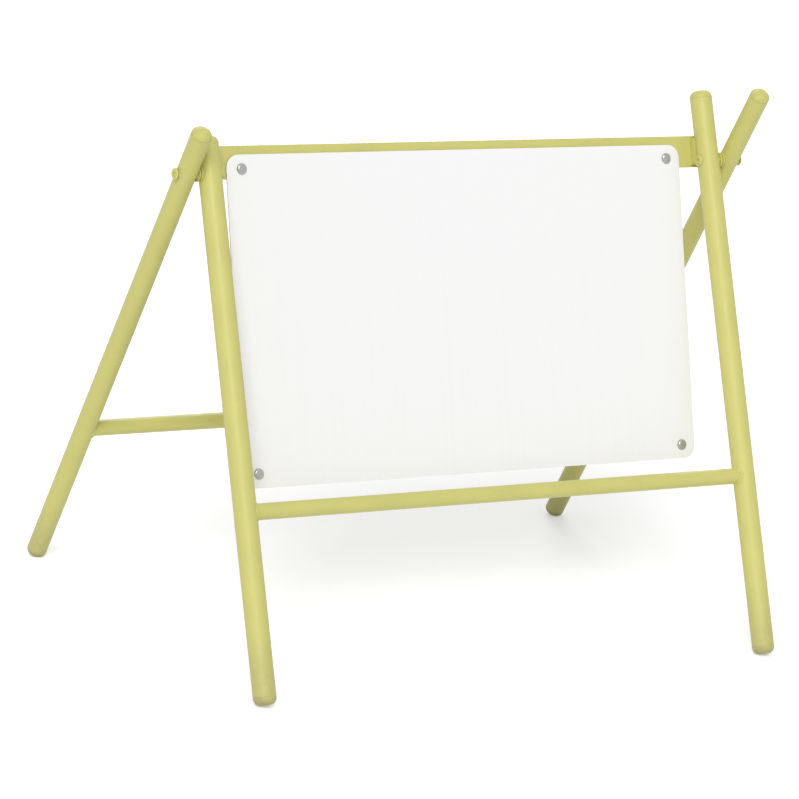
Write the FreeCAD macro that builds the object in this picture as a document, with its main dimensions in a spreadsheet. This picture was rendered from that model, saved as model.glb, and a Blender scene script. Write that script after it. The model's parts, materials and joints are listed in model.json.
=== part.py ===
import FreeCAD, Part
import math
import os
import re

import Sketcher

# Folding A-frame sign: a front frame that carries a sign panel and a rear frame hinged outside it.
# X runs along the panel, the panel faces -Y, Z is up and the origin lies on the floor below the hinge.

# Driving dimensions in millimetres and degrees
SIZES = {
    # Stance of the two frames, measured from the hinge line
    "pivot_height": 864.0,
    "panel_side_gap": 28.4,
    "front_lean": 25.0,
    "rear_lean": 25.0,
    "front_left_rise": 66.0,
    "front_right_rise": 135.0,
    "rear_left_rise": 100.0,
    "rear_right_rise": 169.0,
    "leg_gap": 8.0,
    # Leg tubes and their moulded end plugs
    "front_leg_diameter": 42.4,
    "front_leg_wall": 2.0,
    "rear_leg_diameter": 38.0,
    "rear_leg_wall": 2.0,
    "front_plug_edge": 13.0,
    "rear_plug_edge": 12.0,
    "plug_band": 2.0,
    "plug_stem": 26.0,
    "plug_wall": 3.0,
    "plug_clearance": 0.15,
    "sole_cut": 1.0,
    # Round rails between the legs
    "rail_diameter": 30.0,
    "rail_wall": 1.5,
    "lower_rail_drop": 608.0,
    "rear_rail_drop": 623.0,
    "weld_gap": 0.1,
    # Sign panel and the bars behind it
    "panel_width": 1000.0,
    "panel_height": 600.0,
    "panel_thickness": 3.0,
    "panel_corner": 25.0,
    "panel_lean": 19.5,
    "panel_rise": 33.5,
    "top_rail_height": 60.0,
    "top_rail_thickness": 5.0,
    "top_rail_above_panel": 16.0,
    "stiffener_end_inset": 10.0,
    "stiffener_height": 40.0,
    "stiffener_thickness": 5.0,
    "flat_bar_corner": 3.0,
    # Saddles that seat the top rail on the backs of the front legs
    "saddle_side_inset": 1.2,
    "saddle_land": 3.0,
    "saddle_height": 50.0,
    "saddle_depth": 14.0,
    # Panel bolts
    "bolt_side_inset": 31.0,
    "bolt_edge_inset": 26.0,
    "bolt_diameter": 10.0,
    "bolt_head_diameter": 20.0,
    "bolt_head_height": 5.0,
    "bolt_head_edge": 4.2,
    "bolt_end": 3.0,
    "bolt_hole_clearance": 0.5,
    "washer_diameter": 21.0,
    "washer_thickness": 2.0,
    "nut_flats": 17.0,
    "nut_height": 8.0,
    "nut_collar_diameter": 14.0,
    "nut_collar_height": 2.5,
    "thread_clearance": 0.05,
    # Screws that hold the top rail to its saddles
    "rail_screw_pitch": 24.0,
    "rail_screw_diameter": 6.0,
    "rail_screw_bite": 7.0,
    "rail_screw_head_diameter": 11.5,
    "rail_screw_head_height": 3.5,
    "rail_screw_head_edge": 3.0,
    "rail_screw_hole_clearance": 0.3,
    "rail_screw_spare": 0.5,
    # Hinge bushes, with the interlocking teeth that stop the frames from spreading
    "bush_diameter": 20.0,
    "bush_proud": 0.5,
    "bush_clearance": 0.05,
    "flange_diameter": 30.0,
    "flange_thickness": 2.5,
    "tooth_sector": 70.0,
    "tooth_start": 20.0,
    "tooth_inner_diameter": 22.0,
    "tooth_clearance": 0.4,
    "stop_play": 1.0,
    # Hinge pins: a flanged barrel and the screw that closes it
    "pin_diameter": 14.0,
    "pin_clearance": 0.1,
    "pin_head_diameter": 22.0,
    "pin_head_height": 3.0,
    "pin_head_edge": 2.4,
    "pin_end_play": 0.15,
    "pin_screw_diameter": 8.0,
    "pin_screw_length": 25.0,
    "pin_bore_spare": 5.0,
    "spacer_side_gap": 0.5,
    "spacer_clearance": 0.1,
}

SIDES = {"left": -1, "right": 1}
FRAMES = ("front", "rear")
LEVELS = ("top", "bottom")

# The turn that carries a piece's own X, Y, Z onto the frame's Y, Z, X
ONTO_X = FreeCAD.Rotation(FreeCAD.Vector(1, 1, 1), 120)
# A placement keeps its axis only while it is turned, so one with a bound angle starts from this turn
START_TURN = 45
# How many times the size of a piece a cutting shape reaches past it
TOOL_REACH = 4

doc = FreeCAD.newDocument("AFrameSign")
sheet = doc.addObject("Spreadsheet::Sheet", "Sizes")
for row, (alias, number) in enumerate(SIZES.items(), start=1):
    sheet.set(f"A{row}", alias)
    sheet.set(f"B{row}", str(number))
    sheet.setAlias(f"B{row}", alias)
doc.recompute()

sub_parts = []


# Binding and placing

def in_sheet(formula):
    """The formula with every size written as its cell in the sheet."""
    def cell(match):
        word = match.group()
        return "Sizes." + word if word in SIZES else word
    return re.sub(r"[a-z_]+", cell, str(formula))


def bind(item, settings):
    """Tie each property of an object to its formula."""
    for name, formula in settings.items():
        item.setExpression(name, in_sheet(formula))


def sub_part(item, label):
    """Name an object as one physical piece of the sign."""
    item.Label = label
    sub_parts.append(item)
    return item


def turn_about_x(item, x, y, z, angle):
    """Seat an object at x, y, z with its own frame turned about X."""
    start = FreeCAD.Rotation(FreeCAD.Vector(1, 0, 0), START_TURN)
    item.Placement = FreeCAD.Placement(FreeCAD.Vector(), start)
    bind(item, {
        "Placement.Base.x": x,
        "Placement.Base.y": y,
        "Placement.Base.z": z,
        "Placement.Rotation.Angle": angle,
    })


def on_leg(item, frame, x, along, down=False):
    """Seat an object on a leg's axis, its own Z up the leg or down it, along being above the hinge."""
    sign = {"front": "", "rear": "-"}[frame]
    lean = f"{frame}_lean"
    angle = f"180 - {sign}{lean}" if down else f"0 - {sign}{lean}"
    turn_about_x(
        item,
        x,
        f"{sign}({along}) * sin({lean})",
        f"pivot_height + ({along}) * cos({lean})",
        angle,
    )


def on_panel(item, x, rise, depth, to_back=False):
    """Seat an object by its rise and depth in the panel's plane, its own Z out of the front or back."""
    turn_about_x(
        item,
        x,
        f"({rise}) * sin(panel_lean) + ({depth}) * cos(panel_lean)",
        f"pivot_height + ({rise}) * cos(panel_lean) - ({depth}) * sin(panel_lean)",
        "-90 - panel_lean" if to_back else "90 - panel_lean",
    )


def on_hinge(item, side):
    """Seat an object where the hinge line crosses a front leg, its own Z along X."""
    item.Placement = FreeCAD.Placement(FreeCAD.Vector(), ONTO_X)
    bind(item, {
        "Placement.Base.x": f"{SIDES[side]} * {LEG_SPREAD} / 2",
        "Placement.Base.z": "pivot_height",
    })


# Shared shapes

def cylinder(name, radius, height, base="0"):
    """A plain cylinder on its own Z axis, starting at base."""
    item = doc.addObject("Part::Cylinder", name)
    bind(item, {"Radius": radius, "Height": height, "Placement.Base.z": base})
    return item


def cylinder_along_x(name, radius, half_length, rise="0"):
    """A cylinder along X, centred on the origin's Z axis at a rise."""
    item = doc.addObject("Part::Cylinder", name)
    item.Placement = FreeCAD.Placement(FreeCAD.Vector(), ONTO_X)
    bind(item, {
        "Radius": radius,
        "Height": f"2 * ({half_length})",
        "Placement.Base.x": f"-({half_length})",
        "Placement.Base.z": rise,
    })
    return item


def fused(name, *shapes):
    """Several overlapping shapes as one."""
    item = doc.addObject("Part::MultiFuse", name)
    item.Shapes = list(shapes)
    return item


def cut(name, base, tool):
    """One shape with another taken out of it."""
    item = doc.addObject("Part::Cut", name)
    item.Base = base
    item.Tool = tool
    return item


def plane_sketch(body, role, name):
    """A sketch on one of the body's own origin planes."""
    sketch = body.newObject("Sketcher::SketchObject", name)
    plane = next(item for item in body.Origin.OriginFeatures if item.Role == role)
    sketch.AttachmentSupport = [(plane, "")]
    sketch.MapMode = "FlatFace"
    return sketch


def constrain(sketch, formula, *constraint):
    """Add one dimension to a sketch and tie it to its formula."""
    index = sketch.addConstraint(Sketcher.Constraint(*constraint))
    sketch.setExpression(f"Constraints[{index}]", in_sheet(formula))


def fix_point(sketch, geometry, end, place, drawn):
    """Fix one end of a line at its place from the sketch's origin, from where it was first drawn.

    place holds the formulas of x and y. A point whose formula is 0 is held on the other axis.
    """
    axes = ((-2, "DistanceX"), (-1, "DistanceY"))
    for formula, start, (other_axis, kind) in zip(place, drawn, axes):
        if formula == "0":
            sketch.addConstraint(Sketcher.Constraint("PointOnObject", geometry, end, other_axis))
        else:
            constrain(sketch, formula, kind, -1, 1, geometry, end, start)


def add_rectangle(sketch, width, height):
    """A rectangle that stands on the sketch's X axis, centred on its Y axis.

    It is drawn 200 by 50, and its two dimensions then drive it.
    """
    corners = [(-100, 0), (100, 0), (100, 50), (-100, 50)]
    points = [FreeCAD.Vector(x, y, 0) for x, y in corners]
    for index, point in enumerate(points):
        sketch.addGeometry(Part.LineSegment(point, points[(index + 1) % 4]))
    for index in range(4):
        sketch.addConstraint(Sketcher.Constraint("Coincident", index, 2, (index + 1) % 4, 1))
    for index in (0, 2):
        sketch.addConstraint(Sketcher.Constraint("Horizontal", index))
    for index in (1, 3):
        sketch.addConstraint(Sketcher.Constraint("Vertical", index))
    sketch.addConstraint(Sketcher.Constraint("Symmetric", 0, 1, 0, 2, -1, 1))
    constrain(sketch, width, "DistanceX", 0, 1, 0, 2, 200.0)
    constrain(sketch, height, "DistanceY", 1, 1, 1, 2, 50.0)


def add_mirrored_circles(sketch, x, y, radius):
    """A circle at x, y and its mirror image across the sketch's Y axis.

    They are drawn of radius 4 at 60, 20, and their dimensions then drive them.
    """
    up = FreeCAD.Vector(0, 0, 1)
    right = sketch.addGeometry(Part.Circle(FreeCAD.Vector(60, 20, 0), up, 4))
    left = sketch.addGeometry(Part.Circle(FreeCAD.Vector(-60, 20, 0), up, 4))
    sketch.addConstraint(Sketcher.Constraint("Symmetric", right, 3, left, 3, -2))
    sketch.addConstraint(Sketcher.Constraint("Equal", right, left))
    constrain(sketch, x, "DistanceX", -1, 1, right, 3, 60.0)
    constrain(sketch, y, "DistanceY", -1, 1, right, 3, 20.0)
    constrain(sketch, radius, "Radius", right, 4.0)


def pad(body, sketch, name, length):
    """The sketch raised into a solid."""
    feature = body.newObject("PartDesign::Pad", name)
    feature.Profile = sketch
    bind(feature, {"Length": length})
    doc.recompute()
    return feature


def pocket(body, sketch, name, depth):
    """The sketch sunk along its own normal into what stands there."""
    before = body.Shape.Volume
    feature = body.newObject("PartDesign::Pocket", name)
    feature.Profile = sketch
    feature.Reversed = True
    bind(feature, {"Length": depth})
    doc.recompute()
    if body.Shape.Volume >= before:
        raise RuntimeError(f"{body.Label}: {name} cuts nothing")
    return feature


def rounded(body, feature, name, radius, wanted):
    """The edges of a feature that are wanted, rounded off."""
    edges = [f"Edge{number}" for number, edge in enumerate(feature.Shape.Edges, start=1) if wanted(edge)]
    fillet = body.newObject("PartDesign::Fillet", name)
    fillet.Base = (feature, edges)
    bind(fillet, {"Radius": radius})
    doc.recompute()
    return fillet


def stands_upright(edge):
    """True of a straight edge along Z."""
    return edge.BoundBox.XLength + edge.BoundBox.YLength < 1e-6


def headed_pin(label, head, edge, stem, bore=None):
    """A round head with a soft rim on Z = 0 and a stem below it, bored from its lower end if asked.

    head, stem and bore are each a radius and a length. The half section stands on the stem's lower
    end and is turned about Z. It is drawn at a plain start size, and its dimensions then drive it.
    """
    top = f"{stem[1]} + {head[1]}"
    outline = [
        ("0", top),
        (f"{head[0]} - {edge}", top),
        (head[0], f"{top} - {edge}"),
        (head[0], stem[1]),
        (stem[0], stem[1]),
        (stem[0], "0"),
    ]
    drawn = [(0, 30), (6, 30), (10, 26), (10, 20), (7, 20), (7, 0)]
    if bore:
        outline += [(bore[0], "0"), (bore[0], bore[1]), ("0", bore[1])]
        drawn += [(4, 0), (4, 15), (0, 15)]
    else:
        outline.append(("0", "0"))
        drawn.append((0, 0))

    body = doc.addObject("PartDesign::Body", label)
    section = plane_sketch(body, "XZ_Plane", label + "_section")
    bind(section, {"AttachmentOffset.Base.y": f"-({stem[1]})"})
    points = [FreeCAD.Vector(x, y, 0) for x, y in drawn]
    count = len(points)
    rim = 1
    for index, point in enumerate(points):
        if index == rim:
            circle = Part.Circle(FreeCAD.Vector(6, 26, 0), FreeCAD.Vector(0, 0, 1), 4)
            section.addGeometry(Part.ArcOfCircle(circle, 0, math.pi / 2))
        else:
            section.addGeometry(Part.LineSegment(point, points[(index + 1) % count]))
    for index in range(count):
        following = (index + 1) % count
        leaves = 1 if index == rim else 2
        enters = 2 if following == rim else 1
        section.addConstraint(Sketcher.Constraint("Coincident", index, leaves, following, enters))
    for index, place in enumerate(outline):
        geometry, end = (0, 2) if index == rim else (index, 1)
        fix_point(section, geometry, end, place, drawn[index])
    constrain(section, edge, "Radius", rim, 4.0)

    turned = body.newObject("PartDesign::Revolution", label + "_turned")
    turned.Profile = section
    turned.ReferenceAxis = (section, ["V_Axis"])
    return body


def plate(label, width, height, thickness, corner, holes):
    """A flat plate standing on its lower edge, with rounded corners and mirrored pairs of holes.

    holes lists the x, the height above the lower edge and the radius of each pair.
    """
    body = doc.addObject("PartDesign::Body", label)
    outline = plane_sketch(body, "XY_Plane", label + "_outline")
    add_rectangle(outline, width, height)
    blank = pad(body, outline, label + "_blank", thickness)
    rounded(body, blank, label + "_corners", corner, stands_upright)
    drilling = plane_sketch(body, "XY_Plane", label + "_drilling")
    for x, y, radius in holes:
        add_mirrored_circles(drilling, x, y, radius)
    pocket(body, drilling, label + "_holes", thickness)
    return sub_part(body, label)


# Places that several pieces share

def leg_x(frame, side):
    """Where a leg's axis lies along X."""
    offset = {
        "front": f"{LEG_SPREAD} / 2",
        "rear": f"{LEG_SPREAD} / 2 + front_leg_diameter / 2 + leg_gap + rear_leg_diameter / 2",
    }[frame]
    return f"{SIDES[side]} * ({offset})"


def plug_height(frame):
    """How far a plug's head stands beyond the end of its tube."""
    return f"(plug_band + {frame}_plug_edge)"


def foot_reach(frame):
    """From the hinge line down a leg's axis to the tip of its foot plug.

    The rim's round is tangent to a level that lies sole_cut below the floor.
    """
    edge = f"{frame}_plug_edge"
    lean = f"{frame}_lean"
    flat_radius = f"({frame}_leg_diameter / 2 - {edge})"
    drop = f"(pivot_height + sole_cut - {edge} - {flat_radius} * sin({lean}))"
    return f"({edge} + {drop} / cos({lean}))"


# The legs stand clear of the panel's sides, and the top rail clear of the legs' backs by the saddles' land
LEG_SPREAD = "(panel_width + 2 * panel_side_gap + front_leg_diameter)"
SADDLE_WIDTH = "(front_leg_diameter - 2 * saddle_side_inset)"
TOP_RAIL_TOP = "(panel_rise + top_rail_above_panel)"
LEG_BACK = (
    f"({TOP_RAIL_TOP} * tan(front_lean - panel_lean)"
    " + front_leg_diameter / 2 / cos(front_lean - panel_lean))"
)
PANEL_FRONT = f"({LEG_BACK} + saddle_land - panel_thickness)"

BOLT_HOLE = "bolt_diameter / 2 + bolt_hole_clearance"
BOLT_X = "panel_width / 2 - bolt_side_inset"
BOLT_RISE = {
    "top": "panel_rise - bolt_edge_inset",
    "bottom": "panel_rise - panel_height + bolt_edge_inset",
}
BACKING = {"top": "top_rail_thickness", "bottom": "stiffener_thickness"}
PANEL_BACK = f"({PANEL_FRONT} + panel_thickness)"
TOP_RAIL_FOOT = f"({TOP_RAIL_TOP} - top_rail_height)"
TOP_RAIL_MIDDLE = f"({TOP_RAIL_FOOT} + top_rail_height / 2)"
RAIL_SCREW_HOLE = "rail_screw_diameter / 2 + rail_screw_hole_clearance"

# Along the hinge line, outward from a front leg's axis
FRONT_CROWN = "front_leg_diameter / 2"
FRONT_FLANGE_FACE = f"({FRONT_CROWN} + flange_thickness)"
REAR_CROWN = f"({FRONT_CROWN} + leg_gap)"
REAR_FLANGE_FACE = f"({REAR_CROWN} - flange_thickness)"
BUSH_INNER_END = f"(0 - {FRONT_CROWN} - bush_proud)"
BUSH_OUTER_END = f"({REAR_CROWN} + rear_leg_diameter + bush_proud)"
PIN_INNER_SEAT = f"({BUSH_INNER_END} - pin_end_play)"
PIN_OUTER_SEAT = f"({BUSH_OUTER_END} + pin_end_play)"


# Legs and end plugs

def make_leg(frame, side):
    """A leg tube, open at both ends and bored right across for the hinge bush."""
    label = f"{frame}_{side}_leg"
    radius = f"{frame}_leg_diameter / 2"
    below = f"({foot_reach(frame)} - {plug_height(frame)})"
    length = f"{below} + {frame}_{side}_rise - {plug_height(frame)}"
    skin = cylinder(label + "_skin", radius, length)
    bore = cylinder(label + "_bore", f"{radius} - {frame}_leg_wall", length)
    across = cylinder_along_x(label + "_across", "bush_diameter / 2 + bush_clearance", radius, below)
    leg = cut(label, skin, fused(label + "_voids", bore, across))
    on_leg(leg, frame, leg_x(frame, side), f"0 - {below}")
    return sub_part(leg, label)


def make_plug(label, frame):
    """A moulded plug that closes a leg tube, its stem hollow."""
    radius = f"{frame}_leg_diameter / 2"
    stem = f"{radius} - {frame}_leg_wall - plug_clearance"
    return headed_pin(
        label,
        head=(radius, plug_height(frame)),
        edge=f"{frame}_plug_edge",
        stem=(stem, "plug_stem"),
        bore=(f"{stem} - plug_wall", "plug_stem"),
    )


def make_cap(frame, side):
    """The plug in the upper end of a leg."""
    label = f"{frame}_{side}_cap"
    cap = make_plug(label, frame)
    on_leg(cap, frame, leg_x(frame, side), f"{frame}_{side}_rise - {plug_height(frame)}")
    return sub_part(cap, label)


def make_foot(frame, side):
    """The plug in the lower end of a leg, with a level sole where it meets the floor."""
    label = f"{frame}_{side}_foot"
    plug = make_plug(label + "_plug", frame)
    on_leg(plug, frame, leg_x(frame, side), f"{plug_height(frame)} - {foot_reach(frame)}", down=True)
    ground = doc.addObject("Part::Box", label + "_ground")
    width = f"{TOOL_REACH} * {frame}_leg_diameter"
    length = f"2 * (pivot_height * tan({frame}_lean) + {width})"
    bind(ground, {
        "Length": width,
        "Width": length,
        "Height": f"{frame}_leg_diameter",
        "Placement.Base.x": f"{leg_x(frame, side)} - ({width}) / 2",
        "Placement.Base.y": f"-({length}) / 2",
        "Placement.Base.z": f"0 - {frame}_leg_diameter",
    })
    return sub_part(cut(label, plug, ground), label)


# Rails between the legs

def make_round_rail(label, frame, drop):
    """A cross tube, its ends coped to the legs that it is welded between."""
    half_span = leg_x(frame, "right")
    skin = cylinder_along_x(label + "_skin", "rail_diameter / 2", half_span)
    bore = cylinder_along_x(label + "_bore", "rail_diameter / 2 - rail_wall", half_span)
    copes = []
    for side in SIDES:
        radius = f"{frame}_leg_diameter / 2 + weld_gap"
        cope = cylinder(f"{label}_{side}_cope", radius, "2 * rail_diameter", "0 - rail_diameter")
        bind(cope, {"Placement.Base.x": leg_x(frame, side)})
        copes.append(cope)
    rail = cut(label, skin, fused(label + "_voids", bore, *copes))
    on_leg(rail, frame, "0", f"0 - {drop}")
    return sub_part(rail, label)


def make_top_rail():
    """The flat bar across the backs of the front legs, which carries the panel's upper edge."""
    screw_rows = [f"{LEG_SPREAD} / 2 {way} rail_screw_pitch / 2" for way in "+-"]
    holes = [(x, "top_rail_height / 2", RAIL_SCREW_HOLE) for x in screw_rows]
    holes.append((BOLT_X, f"{BOLT_RISE['top']} - {TOP_RAIL_FOOT}", BOLT_HOLE))
    rail = plate(
        "top_rail",
        f"{LEG_SPREAD} + {SADDLE_WIDTH}",
        "top_rail_height",
        "top_rail_thickness",
        "flat_bar_corner",
        holes,
    )
    on_panel(rail, "0", TOP_RAIL_FOOT, f"{PANEL_BACK} + top_rail_thickness")


def make_saddle(side):
    """A block hollowed to a front leg's back, with a flat seat and tapped holes for the top rail."""
    label = f"rail_saddle_{side}"
    x = leg_x("front", side)
    block = doc.addObject("Part::Box", label + "_block")
    bind(block, {"Length": SADDLE_WIDTH, "Width": "saddle_height", "Height": "saddle_depth"})
    on_panel(block, f"{x} - {SADDLE_WIDTH} / 2", f"{TOP_RAIL_MIDDLE} - saddle_height / 2", PANEL_BACK)
    reach = f"{TOOL_REACH} * saddle_height"
    hollow = cylinder(label + "_hollow", f"{FRONT_CROWN} + weld_gap", f"2 * {reach}")
    on_leg(hollow, "front", x, f"-{reach}")
    tapped = []
    for way in "+-":
        depth = "rail_screw_bite + rail_screw_spare"
        hole = cylinder(f"{label}_tapped", "rail_screw_diameter / 2 + thread_clearance", depth)
        on_panel(hole, f"{x} {way} rail_screw_pitch / 2", TOP_RAIL_MIDDLE, PANEL_BACK)
        tapped.append(hole)
    return sub_part(cut(label, block, fused(label + "_voids", hollow, *tapped)), label)


def make_rail_screw(side, place, way):
    """A button-head screw from the back through the top rail into its saddle."""
    label = f"rail_screw_{side}_{place}"
    screw = headed_pin(
        label,
        head=("rail_screw_head_diameter / 2", "rail_screw_head_height"),
        edge="rail_screw_head_edge",
        stem=("rail_screw_diameter / 2", "top_rail_thickness + rail_screw_bite"),
    )
    x = f"{leg_x('front', side)} {way} {SIDES[side]} * rail_screw_pitch / 2"
    on_panel(screw, x, TOP_RAIL_MIDDLE, f"{PANEL_BACK} + top_rail_thickness", to_back=True)
    return sub_part(screw, label)


# Panel and its fastenings

def make_panel():
    """The sign panel, a sheet with round corners and a bolt hole near each."""
    rows = ["bolt_edge_inset", "panel_height - bolt_edge_inset"]
    panel = plate(
        "sign_panel",
        "panel_width",
        "panel_height",
        "panel_thickness",
        "panel_corner",
        [(BOLT_X, row, BOLT_HOLE) for row in rows],
    )
    on_panel(panel, "0", "panel_rise - panel_height", PANEL_BACK)


def make_stiffener():
    """The flat bar behind the panel's lower edge."""
    bar = plate(
        "panel_stiffener",
        "panel_width - 2 * stiffener_end_inset",
        "stiffener_height",
        "stiffener_thickness",
        "flat_bar_corner",
        [(BOLT_X, "stiffener_height / 2", BOLT_HOLE)],
    )
    foot = f"{BOLT_RISE['bottom']} - stiffener_height / 2"
    on_panel(bar, "0", foot, f"{PANEL_BACK} + stiffener_thickness")


def make_panel_fastening(level, side):
    """A button-head bolt through the panel and its backing bar, with its washer and lock nut."""
    place = f"{level}_{side}"
    x = f"{SIDES[side]} * ({BOLT_X})"
    rise = BOLT_RISE[level]
    backing = f"panel_thickness + {BACKING[level]}"
    grip = f"{backing} + washer_thickness + nut_height + nut_collar_height"
    bolt = headed_pin(
        "panel_bolt_" + place,
        head=("bolt_head_diameter / 2", "bolt_head_height"),
        edge="bolt_head_edge",
        stem=("bolt_diameter / 2", f"{grip} + bolt_end"),
    )
    on_panel(bolt, x, rise, PANEL_FRONT)
    sub_part(bolt, "panel_bolt_" + place)

    label = "panel_washer_" + place
    disc = cylinder(label + "_disc", "washer_diameter / 2", "washer_thickness")
    hole = cylinder(label + "_hole", BOLT_HOLE, "washer_thickness")
    washer = cut(label, disc, hole)
    on_panel(washer, x, rise, f"{PANEL_FRONT} + {backing}", to_back=True)
    sub_part(washer, label)

    label = "panel_nut_" + place
    hexagon = doc.addObject("Part::Prism", label + "_hexagon")
    bind(hexagon, {"Circumradius": "nut_flats / sqrt(3)", "Height": "nut_height"})
    collar = cylinder(label + "_collar", "nut_collar_diameter / 2", "nut_height + nut_collar_height")
    thread_radius = "bolt_diameter / 2 + thread_clearance"
    thread = cylinder(label + "_thread", thread_radius, "nut_height + nut_collar_height")
    nut = cut(label, fused(label + "_blank", hexagon, collar), thread)
    on_panel(nut, x, rise, f"{PANEL_FRONT} + {backing} + washer_thickness", to_back=True)
    sub_part(nut, label)


# Hinge between the two frames

def hinge_span(item, side, inner, outer):
    """Set a cylinder's base and height so that it runs from inner to outer along the hinge line."""
    base = inner if SIDES[side] > 0 else f"0 - {outer}"
    bind(item, {"Height": f"{outer} - {inner}", "Placement.Base.z": base})


def hinge_ring(name, side, radius, inner, outer):
    """A cylinder round the hinge line from inner to outer, in the hinge's own frame."""
    item = doc.addObject("Part::Cylinder", name)
    bind(item, {"Radius": radius})
    hinge_span(item, side, inner, outer)
    return item


def make_bush(frame, side):
    """A bush through a leg, flanged between the legs, with a tooth that meets the other frame's tooth."""
    label = f"{frame}_{side}_bush"
    if frame == "front":
        sleeve_span = (BUSH_INNER_END, FRONT_FLANGE_FACE)
        flange_span = (FRONT_CROWN, FRONT_FLANGE_FACE)
        tooth_span = (FRONT_FLANGE_FACE, f"({REAR_FLANGE_FACE} - tooth_clearance)")
        tooth_angle = "tooth_start"
    else:
        sleeve_span = (REAR_FLANGE_FACE, BUSH_OUTER_END)
        flange_span = (REAR_FLANGE_FACE, REAR_CROWN)
        tooth_span = (f"({FRONT_FLANGE_FACE} + tooth_clearance)", REAR_FLANGE_FACE)
        tooth_angle = "tooth_start - stop_play - tooth_sector"
    sleeve = hinge_ring(label + "_sleeve", side, "bush_diameter / 2", *sleeve_span)
    flange = hinge_ring(label + "_flange", side, "flange_diameter / 2", *flange_span)
    sector = hinge_ring(label + "_sector", side, "flange_diameter / 2", *tooth_span)
    sector.Placement.Rotation = FreeCAD.Rotation(FreeCAD.Vector(0, 0, 1), START_TURN)
    bind(sector, {"Angle": "tooth_sector", "Placement.Rotation.Angle": tooth_angle})
    relief = hinge_ring(label + "_relief", side, "tooth_inner_diameter / 2", *tooth_span)
    tooth = cut(label + "_tooth", sector, relief)
    bore = hinge_ring(label + "_bore", side, "pin_diameter / 2 + pin_clearance", *sleeve_span)
    bush = cut(label, fused(label + "_blank", sleeve, flange, tooth), bore)
    on_hinge(bush, side)
    return sub_part(bush, label)


def make_spacer(side):
    """The plain ring that keeps the two flanges apart inside their teeth."""
    label = f"hinge_spacer_{side}"
    span = (f"({FRONT_FLANGE_FACE} + spacer_clearance)", f"({REAR_FLANGE_FACE} - spacer_clearance)")
    disc = hinge_ring(label + "_disc", side, "tooth_inner_diameter / 2 - spacer_side_gap", *span)
    hole = hinge_ring(label + "_hole", side, "pin_diameter / 2 + pin_clearance", *span)
    spacer = cut(label, disc, hole)
    on_hinge(spacer, side)
    return sub_part(spacer, label)


def make_hinge_pin(side):
    """The barrel that both bushes turn on, headed outside, and the screw that closes it inside."""
    sign = SIDES[side]
    head = ("pin_head_diameter / 2", "pin_head_height")
    barrel = headed_pin(
        f"hinge_barrel_{side}",
        head=head,
        edge="pin_head_edge",
        stem=("pin_diameter / 2", f"{PIN_OUTER_SEAT} - {PIN_INNER_SEAT}"),
        bore=("pin_screw_diameter / 2 + thread_clearance", "pin_screw_length + pin_bore_spare"),
    )
    screw = headed_pin(
        f"hinge_screw_{side}",
        head=head,
        edge="pin_head_edge",
        stem=("pin_screw_diameter / 2", "pin_screw_length"),
    )
    for item, seat, way in ((barrel, PIN_OUTER_SEAT, sign), (screw, PIN_INNER_SEAT, -sign)):
        outward = FreeCAD.Rotation(FreeCAD.Vector(0, 1, 0), 90 * way)
        item.Placement = FreeCAD.Placement(FreeCAD.Vector(), outward)
        bind(item, {
            "Placement.Base.x": f"{sign} * ({LEG_SPREAD} / 2 + {seat})",
            "Placement.Base.z": "pivot_height",
        })
        sub_part(item, item.Label)


# The whole sign

for side in SIDES:
    for frame in FRAMES:
        make_leg(frame, side)
        make_cap(frame, side)
        make_foot(frame, side)
        make_bush(frame, side)
    make_spacer(side)
    make_hinge_pin(side)
    make_saddle(side)
    make_rail_screw(side, "outer", "+")
    make_rail_screw(side, "inner", "-")
    for level in LEVELS:
        make_panel_fastening(level, side)
make_round_rail("lower_rail", "front", "lower_rail_drop")
make_round_rail("rear_rail", "rear", "rear_rail_drop")
make_top_rail()
make_panel()
make_stiffener()
doc.recompute()

# Every object is sound before anything is written
for item in doc.Objects:
    if "Invalid" in item.State or "Error" in item.State:
        raise RuntimeError(f"{item.Label} did not rebuild: {item.State}")
for item in sub_parts:
    if item.Shape.isNull() or not item.Shape.isValid():
        raise RuntimeError(f"{item.Label} has no sound shape")
    if len(item.Shape.Solids) != 1:
        raise RuntimeError(f"{item.Label} is {len(item.Shape.Solids)} solids")

os.makedirs("parts", exist_ok=True)
for item in sub_parts:
    item.Shape.exportStep(os.path.join("parts", item.Label + ".step"))
    print(f"{item.Label}: {item.Shape.Volume / 1000:.1f} cm3")
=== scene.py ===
import json
import math
from functools import cache, partial

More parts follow.
